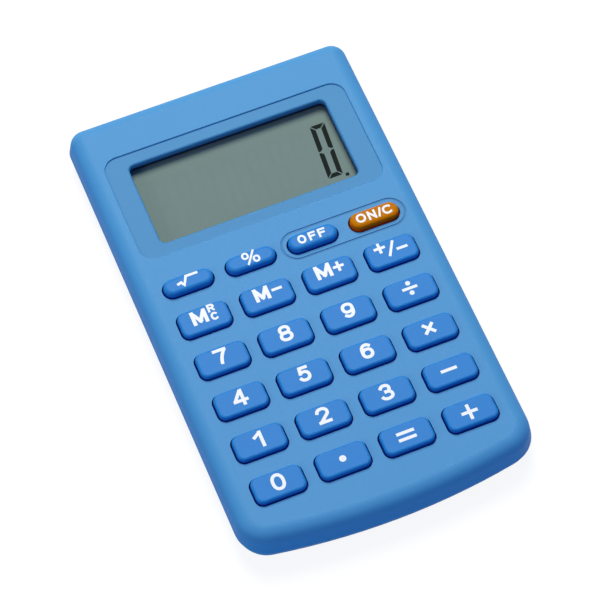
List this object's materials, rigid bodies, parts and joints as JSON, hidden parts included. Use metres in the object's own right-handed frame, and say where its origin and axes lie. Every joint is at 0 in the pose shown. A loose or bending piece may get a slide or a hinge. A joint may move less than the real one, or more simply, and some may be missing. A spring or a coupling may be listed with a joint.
{
  "type": "pocket calculator",
  "caption": "Flat rectangular pocket calculator with a rolled-edge case, a recessed liquid-crystal display, sprung keys and a sliding battery door on the back.",
  "frame": {"origin": "middle of the flat base, on the surface that the calculator lies on", "axes": "+Y towards the display end, +Z out of the key face, +X to the right when reading it"},
  "size_m": [0.0598, 0.1016, 0.0104],
  "materials": {
    "case_abs": "light blue ABS, fine moulded texture",
    "key_abs_blue": "darker blue ABS, smooth, white printed legend",
    "key_abs_orange": "orange ABS, smooth, white printed legend",
    "clear_acrylic": "clear polished acrylic sheet",
    "polariser_film": "grey-green polarising film",
    "display_glass": "thin polished soda-lime glass",
    "reflector_film": "grey-green reflective film",
    "black_foam": "soft black foam",
    "ribbon_film": "amber film with printed tracks",
    "board_laminate": "brown phenolic paper laminate",
    "printed_carbon": "printed carbon, matt",
    "black_epoxy": "black epoxy drop",
    "capacitor_ceramic": "tan fired ceramic",
    "silicone_rubber": "pale silicone rubber, matt",
    "screw_steel": "zinc plated steel",
    "cell_steel": "nickel plated steel",
    "contact_bronze": "tinned phosphor bronze"
  },
  "bodies": {
    "case": {"upper_case": "case_abs", "lower_case": "case_abs", "display_window": "clear_acrylic", "lcd_front_polariser": "polariser_film", "lcd_front_glass": "display_glass", "lcd_rear_glass": "display_glass", "lcd_reflector": "reflector_film", "display_foam": "black_foam", "display_ribbon": "ribbon_film", "circuit_board": "board_laminate", "contact_pads": "printed_carbon", "controller_blob": "black_epoxy", "board_capacitors": "capacitor_ceramic", "keypad_sheet": "silicone_rubber", "rubber_domes": "silicone_rubber", "case_screws": "screw_steel", "board_screws": "screw_steel", "button_cell": "cell_steel", "cell_contact_positive": "contact_bronze", "cell_contact_negative": "contact_bronze"},
    "battery_door": {"battery_door": "case_abs"},
    "key_zero": {"key_zero": "key_abs_blue"},
    "key_point": {"key_point": "key_abs_blue"},
    "key_equals": {"key_equals": "key_abs_blue"},
    "key_plus": {"key_plus": "key_abs_blue"},
    "key_one": {"key_one": "key_abs_blue"},
    "key_two": {"key_two": "key_abs_blue"},
    "key_three": {"key_three": "key_abs_blue"},
    "key_minus": {"key_minus": "key_abs_blue"},
    "key_four": {"key_four": "key_abs_blue"},
    "key_five": {"key_five": "key_abs_blue"},
    "key_six": {"key_six": "key_abs_blue"},
    "key_times": {"key_times": "key_abs_blue"},
    "key_seven": {"key_seven": "key_abs_blue"},
    "key_eight": {"key_eight": "key_abs_blue"},
    "key_nine": {"key_nine": "key_abs_blue"},
    "key_divide": {"key_divide": "key_abs_blue"},
    "key_memory_recall": {"key_memory_recall": "key_abs_blue"},
    "key_memory_minus": {"key_memory_minus": "key_abs_blue"},
    "key_memory_plus": {"key_memory_plus": "key_abs_blue"},
    "key_sign": {"key_sign": "key_abs_blue"},
    "key_root": {"key_root": "key_abs_blue"},
    "key_percent": {"key_percent": "key_abs_blue"},
    "key_off": {"key_off": "key_abs_blue"},
    "key_on_clear": {"key_on_clear": "key_abs_orange"}
  },
  "joints": [
    {"name": "door_slide", "type": "slide", "parent": "case", "child": "battery_door", "axis": [0, 1, 0], "range_m": [0, 0.03]},
    {"name": "zero_press", "type": "slide", "parent": "case", "child": "key_zero", "axis": [0, 0, -1], "range_m": [0, 0.0008], "stiffness_N_per_m": 600, "deforming": ["rubber_domes"]},
    {"name": "point_press", "type": "slide", "parent": "case", "child": "key_point", "axis": [0, 0, -1], "range_m": [0, 0.0008], "stiffness_N_per_m": 600, "deforming": ["rubber_domes"]},
    {"name": "equals_press", "type": "slide", "parent": "case", "child": "key_equals", "axis": [0, 0, -1], "range_m": [0, 0.0008], "stiffness_N_per_m": 600, "deforming": ["rubber_domes"]},
    {"name": "plus_press", "type": "slide", "parent": "case", "child": "key_plus", "axis": [0, 0, -1], "range_m": [0, 0.0008], "stiffness_N_per_m": 600, "deforming": ["rubber_domes"]},
    {"name": "one_press", "type": "slide", "parent": "case", "child": "key_one", "axis": [0, 0, -1], "range_m": [0, 0.0008], "stiffness_N_per_m": 600, "deforming": ["rubber_domes"]},
    {"name": "two_press", "type": "slide", "parent": "case", "child": "key_two", "axis": [0, 0, -1], "range_m": [0, 0.0008], "stiffness_N_per_m": 600, "deforming": ["rubber_domes"]},
    {"name": "three_press", "type": "slide", "parent": "case", "child": "key_three", "axis": [0, 0, -1], "range_m": [0, 0.0008], "stiffness_N_per_m": 600, "deforming": ["rubber_domes"]},
    {"name": "minus_press", "type": "slide", "parent": "case", "child": "key_minus", "axis": [0, 0, -1], "range_m": [0, 0.0008], "stiffness_N_per_m": 600, "deforming": ["rubber_domes"]},
    {"name": "four_press", "type": "slide", "parent": "case", "child": "key_four", "axis": [0, 0, -1], "range_m": [0, 0.0008], "stiffness_N_per_m": 600, "deforming": ["rubber_domes"]},
    {"name": "five_press", "type": "slide", "parent": "case", "child": "key_five", "axis": [0, 0, -1], "range_m": [0, 0.0008], "stiffness_N_per_m": 600, "deforming": ["rubber_domes"]},
    {"name": "six_press", "type": "slide", "parent": "case", "child": "key_six", "axis": [0, 0, -1], "range_m": [0, 0.0008], "stiffness_N_per_m": 600, "deforming": ["rubber_domes"]},
    {"name": "times_press", "type": "slide", "parent": "case", "child": "key_times", "axis": [0, 0, -1], "range_m": [0, 0.0008], "stiffness_N_per_m": 600, "deforming": ["rubber_domes"]},
    {"name": "seven_press", "type": "slide", "parent": "case", "child": "key_seven", "axis": [0, 0, -1], "range_m": [0, 0.0008], "stiffness_N_per_m": 600, "deforming": ["rubber_domes"]},
    {"name": "eight_press", "type": "slide", "parent": "case", "child": "key_eight", "axis": [0, 0, -1], "range_m": [0, 0.0008], "stiffness_N_per_m": 600, "deforming": ["rubber_domes"]},
    {"name": "nine_press", "type": "slide", "parent": "case", "child": "key_nine", "axis": [0, 0, -1], "range_m": [0, 0.0008], "stiffness_N_per_m": 600, "deforming": ["rubber_domes"]},
    {"name": "divide_press", "type": "slide", "parent": "case", "child": "key_divide", "axis": [0, 0, -1], "range_m": [0, 0.0008], "stiffness_N_per_m": 600, "deforming": ["rubber_domes"]},
    {"name": "memory_recall_press", "type": "slide", "parent": "case", "child": "key_memory_recall", "axis": [0, 0, -1], "range_m": [0, 0.0008], "stiffness_N_per_m": 600, "deforming": ["rubber_domes"]},
    {"name": "memory_minus_press", "type": "slide", "parent": "case", "child": "key_memory_minus", "axis": [0, 0, -1], "range_m": [0, 0.0008], "stiffness_N_per_m": 600, "deforming": ["rubber_domes"]},
    {"name": "memory_plus_press", "type": "slide", "parent": "case", "child": "key_memory_plus", "axis": [0, 0, -1], "range_m": [0, 0.0008], "stiffness_N_per_m": 600, "deforming": ["rubber_domes"]},
    {"name": "sign_press", "type": "slide", "parent": "case", "child": "key_sign", "axis": [0, 0, -1], "range_m": [0, 0.0008], "stiffness_N_per_m": 600, "deforming": ["rubber_domes"]},
    {"name": "root_press", "type": "slide", "parent": "case", "child": "key_root", "axis": [0, 0, -1], "range_m": [0, 0.0008], "stiffness_N_per_m": 600, "deforming": ["rubber_domes"]},
    {"name": "percent_press", "type": "slide", "parent": "case", "child": "key_percent", "axis": [0, 0, -1], "range_m": [0, 0.0008], "stiffness_N_per_m": 600, "deforming": ["rubber_domes"]},
    {"name": "off_press", "type": "slide", "parent": "case", "child": "key_off", "axis": [0, 0, -1], "range_m": [0, 0.0008], "stiffness_N_per_m": 600, "deforming": ["rubber_domes"]},
    {"name": "on_clear_press", "type": "slide", "parent": "case", "child": "key_on_clear", "axis": [0, 0, -1], "range_m": [0, 0.0008], "stiffness_N_per_m": 600, "deforming": ["rubber_domes"]}
  ]
}
